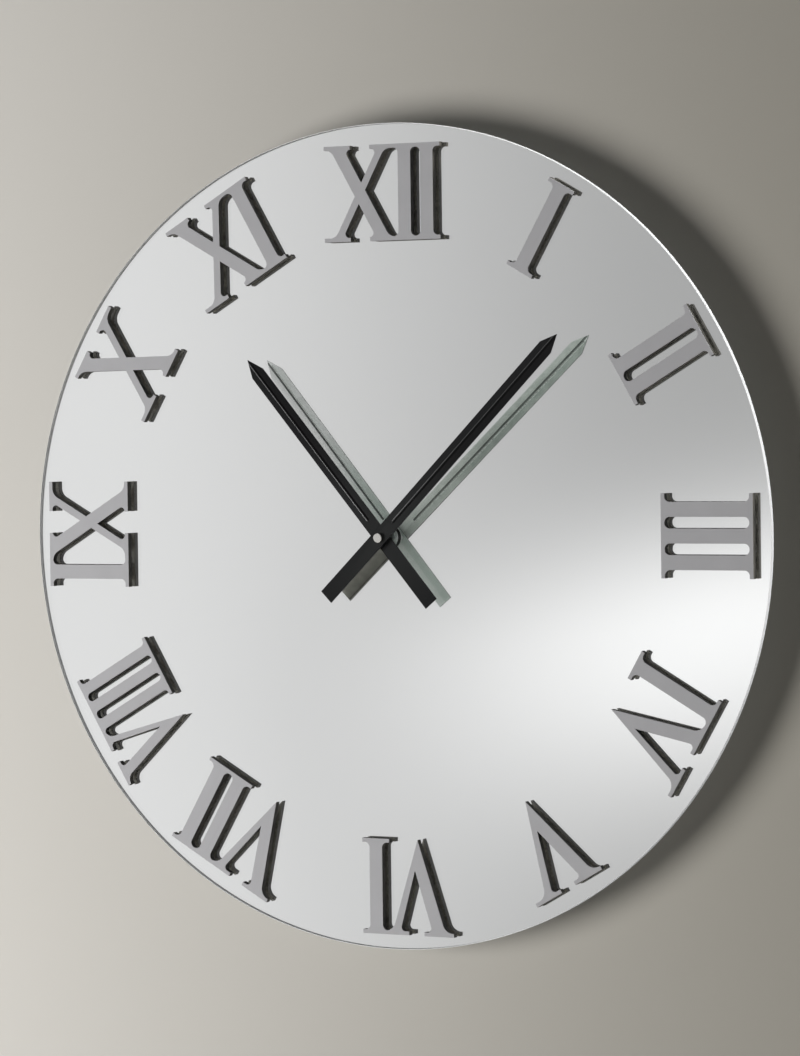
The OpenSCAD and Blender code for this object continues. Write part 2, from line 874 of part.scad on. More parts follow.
module wheel_on(place, layer, count, pitch_r, phase) {
    translate([place[0], place[1], 0])
        slab(layer)
            teeth(count, pitch_r, phase);
}

// Radius of the first wheel of a pair, from its teeth and the centre distance
function pitch_r(count, other, distance) = distance * count / (count + other);

module arbor(place, layer) {
    translate([place[0], place[1], 0])
        slab(layer)
            circle(d = arbor_d);
}

module rotor() {
    color("firebrick")
        hung() {
            arbor(rotor_at, through_layer);
            wheel_on(rotor_at, leaf_layer(middle_layer), rotor_teeth,
                     pitch_r(rotor_teeth, middle_teeth, rotor_pitch), rotor_phase);
            translate([rotor_at[0], rotor_at[1], 0])
                slab(magnet_layer)
                    circle(d = magnet_d);
        }
}

module intermediate_wheel() {
    color("ivory")
        hung() {
            arbor(middle_at, through_layer);
            wheel_on(middle_at, middle_layer, middle_teeth,
                     pitch_r(middle_teeth, rotor_teeth, rotor_pitch), middle_phase);
            wheel_on(middle_at, leaf_layer(seconds_layer), middle_leaves,
                     pitch_r(middle_leaves, seconds_teeth, middle_pitch), middle_leaf_phase);
        }
}

module seconds_wheel() {
    color("ivory")
        hung() {
            arbor(centre_at, [centre_layer[1], through_layer[1]]);
            wheel_on(centre_at, seconds_layer, seconds_teeth,
                     pitch_r(seconds_teeth, middle_leaves, middle_pitch), seconds_phase);
            wheel_on(centre_at, leaf_layer(third_layer), seconds_leaves,
                     pitch_r(seconds_leaves, third_teeth, third_pitch), seconds_leaf_phase);
        }
}

module third_wheel() {
    color("ivory")
        hung() {
            arbor(third_at, through_layer);
            wheel_on(third_at, third_layer, third_teeth,
                     pitch_r(third_teeth, seconds_leaves, third_pitch), third_phase);
            wheel_on(third_at, leaf_layer(centre_layer), third_leaves,
                     pitch_r(third_leaves, centre_teeth, third_pitch), third_leaf_phase);
        }
}

module centre_wheel() {
    color("ivory")
        hung()
            slab(centre_layer)
                difference() {
                    teeth(centre_teeth, pitch_r(centre_teeth, third_leaves, third_pitch), centre_phase);
                    circle(d = shaft_neck_d + 2 * run_gap);
                }
}

module minute_shaft() {
    neck_end = centre_layer[1] + neck_socket;
    thread_end_z = nut_z + cap_nut_h - nut_roof - nut_play;
    color("silver")
        hung()
            difference() {
                union() {
                    wheel_on(centre_at, leaf_layer(minute_layer), cannon_leaves,
                             pitch_r(cannon_leaves, minute_teeth, motion_pitch), cannon_phase);
                    rod(centre_at, minute_shaft_d, chamber_z - minute_layer[0] + leaf_over - lap, minute_z);
                    rod(centre_at, nut_thread_d, minute_z - 1, thread_end_z);
                    rod(centre_at, shaft_neck_d, chamber_z - neck_end, chamber_z - minute_layer[1]);
                }
                rod(centre_at, arbor_d + 2 * run_gap, chamber_z - neck_end - 1,
                        chamber_z - centre_layer[1] + pivot_end);
            }
}

module minute_wheel() {
    color("ivory")
        hung()
            difference() {
                union() {
                    wheel_on(minute_at, minute_layer, minute_teeth,
                             pitch_r(minute_teeth, cannon_leaves, motion_pitch), minute_phase);
                    wheel_on(minute_at, [hour_layer[0] - leaf_over, minute_layer[0] + lap], minute_leaves,
                             pitch_r(minute_leaves, hour_teeth, motion_pitch), minute_leaf_phase);
                }
                rod(minute_at, minute_stud_d + 2 * run_gap, chamber_z - minute_layer[1] - 1, chamber_z + 1);
            }
}

module hour_wheel() {
    tube_end_z = hour_z + hand_t + tube_rise;
    color("ivory")
        hung()
            difference() {
                union() {
                    wheel_on(centre_at, hour_layer, hour_teeth,
                             pitch_r(hour_teeth, minute_leaves, motion_pitch), hour_phase);
                    rod(centre_at, hour_tube_d, chamber_z - hour_layer[1], tube_end_z);
                }
                rod(centre_at, minute_shaft_d + 2 * run_gap, chamber_z - hour_layer[1] - 1, tube_end_z + 1);
            }
}

module setting_knob() {
    knob_gap = 0.2;
    grips = 18;
    grip_depth = 0.4;
    color("ivory")
        hung() {
            arbor(knob_at, [through_layer[0], minute_layer[0]]);
            wheel_on(knob_at, leaf_layer(minute_layer), knob_leaves,
                     pitch_r(knob_leaves, minute_teeth, motion_pitch), knob_phase);
            rod(knob_at, knob_shaft_d, case_back_z - knob_gap - lap, chamber_z - minute_layer[1]);
            translate([knob_at[0], knob_at[1], case_back_z - knob_gap - knob_h])
                linear_extrude(knob_h)
                    polygon([for (corner = [0:2 * grips - 1])
                             let (angle = 180 * corner / grips)
                                 (knob_d / 2 - grip_depth * (corner % 2)) * [cos(angle), sin(angle)]]);
        }
}

mirror_glass();
mirror_silvering();
for (hour = [1:12])
    numeral(hour);
hour_hand();
hour_hand_collet();
minute_hand();
cap_nut();
dial_washer();
fixing_nut();
threaded_bush();
rubber_washer();
hanger_bracket();
wall_spacers();
movement_case();
rear_cover();
battery();
battery_contact_plus();
battery_contact_minus();
circuit_board();
quartz_crystal();
coil();
coil_core();
stator();
rotor();
intermediate_wheel();
seconds_wheel();
third_wheel();
centre_wheel();
minute_shaft();
minute_wheel();
hour_wheel();
setting_knob();
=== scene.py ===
import math

import bmesh
import bpy
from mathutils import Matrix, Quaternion, Vector


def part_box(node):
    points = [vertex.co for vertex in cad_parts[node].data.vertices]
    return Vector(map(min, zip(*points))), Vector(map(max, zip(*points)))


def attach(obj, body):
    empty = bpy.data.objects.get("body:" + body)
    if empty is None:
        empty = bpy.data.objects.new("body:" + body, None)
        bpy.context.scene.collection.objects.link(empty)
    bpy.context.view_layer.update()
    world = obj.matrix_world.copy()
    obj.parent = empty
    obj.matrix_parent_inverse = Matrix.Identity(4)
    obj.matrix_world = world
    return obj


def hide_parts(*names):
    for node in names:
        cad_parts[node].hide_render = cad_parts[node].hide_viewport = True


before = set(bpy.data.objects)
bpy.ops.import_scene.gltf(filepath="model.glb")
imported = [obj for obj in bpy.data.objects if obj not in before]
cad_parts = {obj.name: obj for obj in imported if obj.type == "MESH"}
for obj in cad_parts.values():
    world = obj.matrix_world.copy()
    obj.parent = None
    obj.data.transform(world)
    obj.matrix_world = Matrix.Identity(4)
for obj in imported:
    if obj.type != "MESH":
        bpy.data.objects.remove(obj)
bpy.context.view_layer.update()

# Mirror glass: one disc of 3 mm float glass, clear with a trace of green, drilled for the bush.
# Its edge is ground by a wheel, with a flat along the front that catches the light and a finer one behind.


class Wire:
    """A socket of a node tree. Arithmetic on it adds Math nodes."""

    def __init__(self, tree, socket=None):
        self.tree = tree
        self.socket = socket

    def node(self, kind, output=0, settings=None, inputs=None):
        """Adds one node, sets it up, feeds its sockets and gives one of its outputs."""
        made = self.tree.nodes.new("ShaderNode" + kind)
        for name, value in (settings or {}).items():
            setattr(made, name, value)
        for name, value in (inputs or {}).items():
            if isinstance(value, Wire):
                self.tree.links.new(value.socket, made.inputs[name])
            else:
                made.inputs[name].default_value = value
        return Wire(self.tree, made.outputs[output])

    def math(self, operation, first, second):
        return self.node("Math", 0, {"operation": operation}, {0: first, 1: second})

    def __add__(self, other):
        return self.math("ADD", self, other)

    def __radd__(self, other):
        return self.math("ADD", other, self)

    def __sub__(self, other):
        return self.math("SUBTRACT", self, other)

    def __rsub__(self, other):
        return self.math("SUBTRACT", other, self)

    def __mul__(self, other):
        return self.math("MULTIPLY", self, other)

    def __rmul__(self, other):
        return self.math("MULTIPLY", other, self)

    def __truediv__(self, other):
        return self.math("DIVIDE", self, other)

    def __rtruediv__(self, other):
        return self.math("DIVIDE", other, self)

    def __pow__(self, other):
        return self.math("POWER", self, other)

    def __rpow__(self, other):
        return self.math("POWER", other, self)

    def __gt__(self, other):
        return self.math("GREATER_THAN", self, other)

    def axes(self):
        """The three parts of a vector."""
        parts = self.node("SeparateXYZ", 0, None, {0: self}).socket.node.outputs
        return [Wire(self.tree, part) for part in parts]

    def rise(self, low, high):
        """0 below low, 1 above high, and smooth between."""
        return self.node(
            "MapRange", 0, {"interpolation_type": "SMOOTHSTEP"},
            {"Value": self, "From Min": low, "From Max": high})

    def grain(self, scale, detail=3.0, stretch=(1.0, 1.0, 1.0)):
        """Noise at a place, with scale in grains a metre, drawn out along the axes with a low stretch."""
        place = self.node("Mapping", 0, None, {"Vector": self, "Scale": stretch})
        return self.node("TexNoise", 0, None, {"Vector": place, "Scale": scale, "Detail": detail})

    def blend(self, low, high):
        """A colour between two, by this mask."""
        return self.node("Mix", 2, {"data_type": "RGBA"}, {0: self, 6: low, 7: high})

    def relief(self, strength, depth):
        """A normal that takes this as its height, with depth in metres."""
        return self.node("Bump", 0, None, {"Height": self, "Strength": strength, "Distance": depth})


def tone(red, green, blue):
    return (red, green, blue, 1.0)


def start_finish(name, constants):
    """A material with its constants on the shader's own sockets, and the wire of its object place."""
    finish = bpy.data.materials.new(name)
    finish.use_nodes = True
    shader = finish.node_tree.nodes["Principled BSDF"]
    for socket, value in constants.items():
        shader.inputs[socket].default_value = value
    return finish, Wire(finish.node_tree).node("TexCoord", "Object")


def feed(finish, wires):
    """Links what varies over a surface to the finish's shader."""
    shader = finish.node_tree.nodes["Principled BSDF"]
    for socket, wire in wires.items():
        finish.node_tree.links.new(wire.socket, shader.inputs[socket])


def turned(name, outline, steps):
    """A ring about the dial's axis, spun from a closed outline of (radius, y) corners."""
    bpy.ops.object.select_all(action="DESELECT")
    bpy.ops.mesh.primitive_circle_add(vertices=len(outline), fill_type="NOTHING")
    piece = bpy.context.object
    piece.name = name
    piece.data.name = name
    for corner, (radius, y) in zip(piece.data.vertices, outline):
        corner.co = (radius, y, AXIS_Z)
    bpy.ops.object.mode_set(mode="EDIT")
    bpy.ops.mesh.select_all(action="SELECT")
    bpy.ops.mesh.spin(steps=steps, angle=2 * math.pi, center=(0, 0, AXIS_Z), axis=(0, 1, 0))
    bpy.ops.mesh.select_all(action="SELECT")
    bpy.ops.mesh.remove_doubles(threshold=WELD)
    bpy.ops.mesh.normals_make_consistent(inside=False)
    bpy.ops.object.mode_set(mode="OBJECT")
    bpy.ops.object.shade_smooth_by_angle(angle=SMOOTH_ANGLE)
    return piece


def dress(piece, finishes, choose):
    """Gives each face one of the finishes, chosen by the face's middle and normal."""
    for finish in finishes:
        piece.data.materials.append(finish)
    for face in piece.data.polygons:
        face.material_index = choose(face.center, face.normal)


AXIS_Z = -0.054
WELD = 1e-6
SMOOTH_ANGLE = math.radians(30)
DISC_STEPS = 384
GLASS_R = 0.25
HOLE_R = 0.0055
FRONT_FLAT = 0.0004
BACK_FLAT = 0.0003
# The front is set back by a hair from what stands on it, and the back runs a hair into the silver
HAIR = 0.00003
glass_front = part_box("mirror_glass")[0].y + HAIR
glass_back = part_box("mirror_glass")[1].y + HAIR
mirror_glass = turned(
    "mirror_plate",
    [
        (HOLE_R, glass_front), (GLASS_R - FRONT_FLAT, glass_front), (GLASS_R, glass_front + FRONT_FLAT),
        (GLASS_R, glass_back - BACK_FLAT), (GLASS_R - BACK_FLAT, glass_back), (HOLE_R, glass_back),
    ],
    DISC_STEPS)

float_glass, place = start_finish("float_glass", {"Transmission Weight": 1.0, "IOR": 1.52, "Roughness": 0.0})
ripple = place.grain(9.0)
feed(float_glass, {"Base Color": ripple.blend(tone(0.972, 0.982, 0.978), tone(0.98, 0.986, 0.984))})

ground_edge, place = start_finish("ground_edge", {"Transmission Weight": 0.45, "IOR": 1.52})
wheel_marks = place.grain(900.0, 2.0, (0.3, 2.5, 0.3))
feed(ground_edge, {
    "Base Color": wheel_marks.blend(tone(0.90, 0.93, 0.92), tone(0.98, 0.985, 0.985)),
    "Roughness": 0.34 + 0.16 * wheel_marks,
    "Normal": wheel_marks.relief(0.12, 0.0001),
})


def on_edge(middle, normal):
    return 1 if math.hypot(middle.x, middle.z - AXIS_Z) > GLASS_R - FRONT_FLAT else 0


dress(mirror_glass, [float_glass, ground_edge], on_edge)
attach(mirror_glass, "dial")
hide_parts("mirror_glass")

# Silver: the mirror layer on the back of the glass, which stops just short of the ground edge.
# It is deposited wet and then covered with a sprayed grey paint, which is all that shows from behind.

SILVER_R = 0.2497
silver_front, silver_back = (corner.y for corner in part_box("mirror_silvering"))
silver_coat = turned(
    "silver_coat",
    [(HOLE_R, silver_front), (SILVER_R, silver_front), (SILVER_R, silver_back), (HOLE_R, silver_back)],
    DISC_STEPS)

silver, place = start_finish("silver", {"Metallic": 1.0, "Roughness": 0.0})
deposit = place.grain(14.0)
feed(silver, {"Base Color": deposit.blend(tone(0.925, 0.925, 0.925), tone(0.94, 0.94, 0.94))})

back_paint, place = start_finish("back_paint", {"Specular IOR Level": 0.4})
spray = place.grain(1400.0, 4.0)
drift = place.grain(22.0, 3.0, (1.0, 1.0, 0.25))
feed(back_paint, {
    "Base Color": (0.6 * drift + 0.4 * spray).blend(tone(0.25, 0.265, 0.27), tone(0.37, 0.385, 0.39)),
    "Roughness": 0.42 + 0.2 * spray,
    "Normal": (spray + 0.6 * drift).relief(0.3, 0.0002),
})


def behind(middle, normal):
    return 0 if normal.y < -0.5 else 1


dress(silver_coat, [silver, back_paint], behind)
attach(silver_coat, "dial")
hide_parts("mirror_silvering")

# Numerals: twelve plates cut by laser from 4 mm board, each glued flat on the glass.
# The front is sprayed a satin grey, and the cut sides are left scorched, dark brown with faint streaks.
# The glued back is bare board under a thin coat of clear glue, and shows in the mirror beside each plate.

NUMERAL_ROUND = 0.00018
FLAT_ANGLE = math.radians(0.5)
EASED_ANGLE = math.radians(50)
SQUARE_ON = 0.95
SIDEWAYS = 0.3


def welded(node, name):
    """A copy of a CAD solid, its loose triangles welded and its flat faces made whole."""
    bpy.ops.object.select_all(action="DESELECT")
    piece = bpy.data.objects.new(name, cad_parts[node].data.copy())
    bpy.context.scene.collection.objects.link(piece)
    piece.data.name = name
    piece.data.materials.clear()
    bpy.context.view_layer.objects.active = piece
    piece.select_set(True)
    bpy.ops.mesh.customdata_custom_splitnormals_clear()
    bpy.ops.object.mode_set(mode="EDIT")
    bpy.ops.mesh.select_all(action="SELECT")
    bpy.ops.mesh.remove_doubles(threshold=WELD)
    bpy.ops.mesh.dissolve_limited(angle_limit=FLAT_ANGLE)
    bpy.ops.object.mode_set(mode="OBJECT")
    return piece


def ease(piece, chosen, width, segments):
    """Rounds the chosen edges of a piece, and keeps its flat faces flat in the light."""
    bpy.context.tool_settings.mesh_select_mode = (False, True, False)
    bpy.ops.object.mode_set(mode="EDIT")
    shape = bmesh.from_edit_mesh(piece.data)
    for edge in shape.edges:
        edge.select_set(False)
    for edge in shape.edges:
        if len(edge.link_faces) == 2 and chosen(edge):
            edge.select_set(True)
    bmesh.update_edit_mesh(piece.data)
    bpy.ops.mesh.bevel(offset=width, segments=segments, affect="EDGES", clamp_overlap=True)
    bpy.ops.object.mode_set(mode="OBJECT")
    bpy.ops.object.shade_smooth_by_angle(angle=EASED_ANGLE)
    leaning = piece.modifiers.new("leaning", "WEIGHTED_NORMAL")
    leaning.keep_sharp = True
    bpy.ops.object.modifier_apply(modifier=leaning.name)


def front_edge(edge):
    """True where a front face meets a side."""
    facing = sorted(face.normal.y for face in edge.link_faces)
    return facing[0] < -SQUARE_ON and facing[1] > -SIDEWAYS


def front_side_or_back(middle, normal):
    if normal.y < -0.25:
        return 0
    return 2 if normal.y > 0.5 else 1


numeral_grey, place = start_finish("numeral_grey", {"Specular IOR Level": 0.5})
mottle = place.grain(60.0, 4.0)
speck = place.grain(2600.0, 2.0)
feed(numeral_grey, {
    "Base Color": (0.7 * mottle + 0.3 * speck).blend(tone(0.362, 0.358, 0.366), tone(0.434, 0.43, 0.44)),
    "Roughness": 0.36 + 0.18 * speck,
    "Normal": speck.relief(0.12, 0.0001),
})

laser_cut, place = start_finish("laser_cut", {"Specular IOR Level": 0.25})
streaks = place.grain(420.0, 3.0, (0.06, 4.0, 0.06))
scorch = place.grain(90.0, 3.0)
feed(laser_cut, {
    "Base Color": (streaks * scorch).rise(0.1, 0.45).blend(
        tone(0.026, 0.0255, 0.0225), tone(0.09, 0.085, 0.072)),
    "Roughness": 0.44 + 0.3 * streaks,
    "Normal": streaks.relief(0.2, 0.0001),
})

glued_board, place = start_finish("glued_board", {"Specular IOR Level": 0.3})
fibres = place.grain(700.0, 4.0)
smear = place.grain(110.0, 3.0)
feed(glued_board, {
    "Base Color": (0.5 * fibres + 0.5 * smear).rise(0.3, 0.7).blend(
        tone(0.12, 0.117, 0.10), tone(0.30, 0.285, 0.245)),
    "Roughness": 0.5 + 0.3 * smear,
    "Normal": fibres.relief(0.2, 0.0001),
})

for hour in range(1, 13):
    node = f"numeral_{hour}"
    numeral = welded(node, f"{node}_plate")
    ease(numeral, front_edge, NUMERAL_ROUND, 2)
    dress(numeral, [numeral_grey, laser_cut, glued_board], front_side_or_back)
    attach(numeral, "dial")
    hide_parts(node)

# Movement case and rear cover: a square black box moulded in two halves that snap together.
# The mould is spark-eroded, which leaves a fine matt skin, and the outer edges are slightly rounded.
# Raised marks on the cover show how the knob turns and which way round the cell goes.

CASE_ROUND = 0.0006
MARK_RISE = 0.00035
MARK_ROOT = 0.0001
MARK_ROUND = 0.0001
SIGN_X = 0.0215
SIGN_Z = -0.0615
SIGN_REACH = 0.0021
SIGN_HALF = 0.00045
ARROW_R = 0.0078
ARROW_HALF = 0.0004
ARROW_START = 40
ARROW_END = 250
ARROW_HEAD = 16
ARROW_STEP = 6

case_plastic, place = start_finish("case_plastic", {"Specular IOR Level": 0.45})
spark = place.grain(3200.0, 3.0)
flow = place.grain(70.0)
feed(case_plastic, {
    "Base Color": (0.5 * spark + 0.5 * flow).blend(tone(0.014, 0.014, 0.015), tone(0.04, 0.04, 0.042)),
    "Roughness": 0.42 + 0.22 * spark,
    "Normal": spark.relief(0.3, 0.0001),
})


def all_over(middle, normal):
    return 0


def box_corner(node):
    """A choice of the edges along the corners of a node's box."""
    low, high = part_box(node)

    def chosen(edge):
        middle = (edge.verts[0].co + edge.verts[1].co) / 2
        reached = [min(at - start, end - at) < 2 * WELD for at, start, end in zip(middle, low, high)]
        return sum(reached) > 1

    return chosen


for node in ("movement_case", "rear_cover"):
    shell = welded(node, f"{node}_shell")
    ease(shell, box_corner(node), CASE_ROUND, 3)
    dress(shell, [case_plastic], all_over)
    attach(shell, "dial")
    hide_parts(node)


def back_edge(edge):
    """True where a back face meets a side."""
    facing = sorted(face.normal.y for face in edge.link_faces)
    return facing[1] > SQUARE_ON and facing[0] < SIDEWAYS


def raised_mark(name, corners):
    """A flat mark moulded on the cover, drawn by its corners in x and z."""
    cover_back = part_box("rear_cover")[1].y
    bpy.ops.object.select_all(action="DESELECT")
    bpy.ops.mesh.primitive_circle_add(vertices=len(corners), fill_type="NGON")
    mark = bpy.context.object
    mark.name = name
    mark.data.name = name
    for corner, (x, z) in zip(mark.data.vertices, corners):
        corner.co = (x, cover_back - MARK_ROOT, z)
    bpy.ops.object.mode_set(mode="EDIT")
    bpy.ops.mesh.select_all(action="SELECT")
    bpy.ops.mesh.extrude_region_move(TRANSFORM_OT_translate={"value": (0, MARK_ROOT + MARK_RISE, 0)})
    bpy.ops.mesh.select_all(action="SELECT")
    bpy.ops.mesh.normals_make_consistent(inside=False)
    bpy.ops.object.mode_set(mode="OBJECT")
    ease(mark, back_edge, MARK_ROUND, 2)
    dress(mark, [case_plastic], all_over)
    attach(mark, "dial")


def bar_corners(x, z, half_w, half_h):
    left, right = x - half_w, x + half_w
    low, high = z - half_h, z + half_h
    return [(left, low), (right, low), (right, high), (left, high)]


def plus_corners(x, z, reach, half):
    return [
        (x - half, z - reach), (x + half, z - reach), (x + half, z - half), (x + reach, z - half),
        (x + reach, z + half), (x + half, z + half), (x + half, z + reach), (x - half, z + reach),
        (x - half, z + half), (x - reach, z + half), (x - reach, z - half), (x - half, z - half),
    ]


def arrow_corners(x, z, radius, half, start, end, head):
    """A curved arrow about a point, from one angle to another in degrees, with its head beyond."""
    angles = range(start, end + 1, ARROW_STEP)
    corners = [(radius + half, angle) for angle in angles]
    corners += [(radius + 3 * half, end), (radius, end + head), (radius - 3 * half, end)]
    corners += [(radius - half, angle) for angle in reversed(angles)]
    return [(x + r * math.cos(math.radians(a)), z + r * math.sin(math.radians(a))) for r, a in corners]


knob_low, knob_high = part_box("setting_knob")
knob_middle = (knob_low + knob_high) / 2
raised_mark(
    "knob_arrow",
    arrow_corners(knob_middle.x, knob_middle.z, ARROW_R, ARROW_HALF, ARROW_START, ARROW_END, ARROW_HEAD))
raised_mark("plus_mark", plus_corners(SIGN_X, SIGN_Z, SIGN_REACH, SIGN_HALF))
raised_mark("minus_mark", bar_corners(-SIGN_X, SIGN_Z, SIGN_REACH, SIGN_HALF))

# Battery: one AA cell in a plain dark green shrink sleeve with a pale band towards its button.
# The sleeve stops short of both ends, where the steel can shows.


def clad(finish, *nodes):
    """Gives CAD nodes a finish."""
    for node in nodes:
        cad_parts[node].data.materials.clear()
        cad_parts[node].data.materials.append(finish)


SLEEVE_START = -0.0244
SLEEVE_END = 0.0231
BAND_START = 0.0125
BAND_END = 0.0175
SLEEVE_BLUR = 0.0001

cell_wrap, place = start_finish("cell_wrap", {"Coat Weight": 0.3, "Coat Roughness": 0.15})
along = place.axes()[0]
scuff = place.grain(700.0, 3.0, (0.2, 1.0, 1.0))
past_foot = along.rise(SLEEVE_START, SLEEVE_START + SLEEVE_BLUR)
past_top = along.rise(SLEEVE_END, SLEEVE_END + SLEEVE_BLUR)
sleeved = past_foot * (1 - past_top)
in_band = along.rise(BAND_START, BAND_START + SLEEVE_BLUR)
past_band = along.rise(BAND_END, BAND_END + SLEEVE_BLUR)
banded = in_band * (1 - past_band)
print_ink = banded.blend(tone(0.03, 0.12, 0.06), tone(0.62, 0.62, 0.56))
feed(cell_wrap, {
    "Base Color": sleeved.blend(tone(0.62, 0.61, 0.58), print_ink),
    "Metallic": 1 - sleeved,
    "Roughness": 0.22 + 0.2 * scuff,
})
clad(cell_wrap, "battery")

# Nickel: the battery's contact springs, the crystal's can, the minute shaft and the nut on its end.
# Steel or brass, plated bright, with fine turning and handling marks.

nickel, place = start_finish("nickel", {"Metallic": 1.0})
rub = place.grain(1800.0, 4.0, (1.0, 0.4, 1.0))
feed(nickel, {
    "Base Color": rub.blend(tone(0.66, 0.65, 0.62), tone(0.80, 0.79, 0.76)),
    "Roughness": 0.14 + 0.16 * rub,
    "Normal": rub.relief(0.08, 0.00005),
})
clad(nickel, "battery_contact_plus", "battery_contact_minus", "quartz_crystal", "minute_shaft", "cap_nut")

# Circuit board: green glass-epoxy board with copper tracks under its lacquer.
# It sits on two posts beside the coil.

TRACK_PITCH = 0.0015


def waves(along, pitch):
    """A sine of a place, with one wave to each pitch."""
    return along.node("Math", 0, {"operation": "SINE"}, {0: along * (2 * math.pi / pitch)})


board_lacquer, place = start_finish("board_lacquer", {"Coat Weight": 0.4})
tracks = waves(place.axes()[0], TRACK_PITCH).rise(0.44, 0.6)
weave = place.grain(2400.0, 2.0)
feed(board_lacquer, {
    "Base Color": tracks.blend(tone(0.012, 0.075, 0.035), tone(0.035, 0.14, 0.06)),
    "Roughness": 0.3 + 0.2 * weave,
    "Normal": (tracks + 0.3 * weave).relief(0.3, 0.00005),
})
clad(board_lacquer, "circuit_board")

# Coil and its core: enamelled copper wire wound in close turns on a bobbin over a soft iron core.
# The core and the stator are stampings of soft iron, left bare.

WIRE_PITCH = 0.0002

enamelled_copper, place = start_finish("enamelled_copper", {"Metallic": 0.85})
# Painted shade and highlight: the copper is painted darker between the turns and lighter on their crowns.
windings = 0.5 + 0.5 * waves(place.axes()[0], WIRE_PITCH)
feed(enamelled_copper, {
    "Base Color": windings.blend(tone(0.30, 0.10, 0.04), tone(0.72, 0.33, 0.16)),
    "Roughness": 0.42 - 0.16 * windings,
    "Normal": windings.relief(0.6, 0.00006),
})
clad(enamelled_copper, "coil")

soft_iron, place = start_finish("soft_iron", {"Metallic": 1.0})
rolled = place.grain(1500.0, 3.0, (0.15, 1.0, 1.0))
feed(soft_iron, {
    "Base Color": rolled.blend(tone(0.32, 0.32, 0.33), tone(0.50, 0.50, 0.51)),
    "Roughness": 0.32 + 0.22 * rolled,
    "Normal": rolled.relief(0.15, 0.00005),
})
clad(soft_iron, "coil_core", "stator")

# Rotor: a small round magnet, pressed from powder and dark grey.
# It is moulded together with its plastic pinion and runs in the stator's eye.

magnet, place = start_finish("magnet", {"Metallic": 0.7})
pressed = place.grain(2600.0, 3.0)
feed(magnet, {
    "Base Color": pressed.blend(tone(0.035, 0.035, 0.038), tone(0.10, 0.10, 0.105)),
    "Roughness": 0.4 + 0.25 * pressed,
    "Normal": pressed.relief(0.2, 0.00005),
})
clad(magnet, "rotor")

# Wheels and setting knob: moulded in cream acetal, slightly waxy.
# Each wheel is one moulding with its pinion, and the knob's shaft comes out through the rear cover.

acetal, place = start_finish(
    "acetal", {"Specular IOR Level": 0.5, "Subsurface Weight": 0.08, "Subsurface Scale": 0.002})
cloud = place.grain(260.0, 3.0)
feed(acetal, {
    "Base Color": cloud.blend(tone(0.70, 0.67, 0.58), tone(0.80, 0.78, 0.70)),
    "Roughness": 0.34 + 0.14 * cloud,
    "Normal": cloud.relief(0.06, 0.00005),
})
clad(acetal, "intermediate_wheel", "seconds_wheel", "third_wheel", "centre_wheel")
clad(acetal, "minute_wheel", "hour_wheel", "setting_knob")

# Rubber washer and wall spacers: black moulded rubber.
# The washer cushions the hanger against the glass, and the spacers hold the foot of the dial off the wall.

SPACER_ROUND = 0.0007
CORNER_ANGLE = 1.0

rubber, place = start_finish("rubber", {"Specular IOR Level": 0.3})
bloom = place.grain(420.0, 5.0)
feed(rubber, {
    "Base Color": bloom.blend(tone(0.012, 0.012, 0.012), tone(0.042, 0.041, 0.040)),
    "Roughness": 0.62 + 0.2 * bloom,
    "Normal": bloom.relief(0.25, 0.0001),
})
clad(rubber, "rubber_washer")


def sharp(edge):
    """True along an outer corner."""
    return edge.is_convex and edge.calc_face_angle() > CORNER_ANGLE


spacers = welded("wall_spacers", "wall_spacer_pads")
ease(spacers, sharp, SPACER_ROUND, 3)
dress(spacers, [rubber], all_over)
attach(spacers, "dial")
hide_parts("wall_spacers")

# Hanger, dial washer and fixing nut: zinc-plated steel, pale grey with a soft sheen.
# The hanger is a strip folded twice and punched with a keyhole, its cut edges broken by tumbling.
# The washer is faced with thin black rubber where the nut presses it on the glass.

HANGER_ROUND = 0.0002
WASHER_ROUND = 0.00012

zinc_steel, place = start_finish("zinc_steel", {"Metallic": 1.0})
spangle = place.node("TexVoronoi", "Color", None, {"Vector": place, "Scale": 420.0}).axes()[0]
handling = place.grain(1300.0, 4.0, (1.0, 1.0, 0.2))
feed(zinc_steel, {
    "Base Color": (0.2 * spangle + 0.8 * handling).blend(tone(0.50, 0.52, 0.52), tone(0.66, 0.68, 0.67)),
    "Roughness": 0.3 + 0.05 * spangle + 0.16 * handling,
    "Normal": handling.relief(0.1, 0.0001),
})
clad(zinc_steel, "fixing_nut")


def front_or_back(middle, normal):
    return 1 if normal.y > SIDEWAYS else 0


washer = welded("dial_washer", "dial_washer_ring")
ease(washer, sharp, WASHER_ROUND, 2)
dress(washer, [zinc_steel, rubber], front_or_back)
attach(washer, "dial")
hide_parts("dial_washer")
hanger = welded("hanger_bracket", "hanger_strip")
ease(hanger, sharp, HANGER_ROUND, 2)
dress(hanger, [zinc_steel], all_over)
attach(hanger, "dial")
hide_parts("hanger_bracket")

# Bush and hour collet: turned brass, chemically blackened.
# The bush carries the movement's thread through the glass, and the collet grips the hour tube.

black_oxide, place = start_finish("black_oxide", {"Metallic": 0.85})
oxide = place.grain(1500.0, 4.0)
feed(black_oxide, {
    "Base Color": oxide.blend(tone(0.09, 0.095, 0.095), tone(0.18, 0.19, 0.19)),
    "Roughness": 0.3 + 0.2 * oxide,
    "Normal": oxide.relief(0.12, 0.00005),
})
clad(black_oxide, "threaded_bush", "hour_hand_collet")
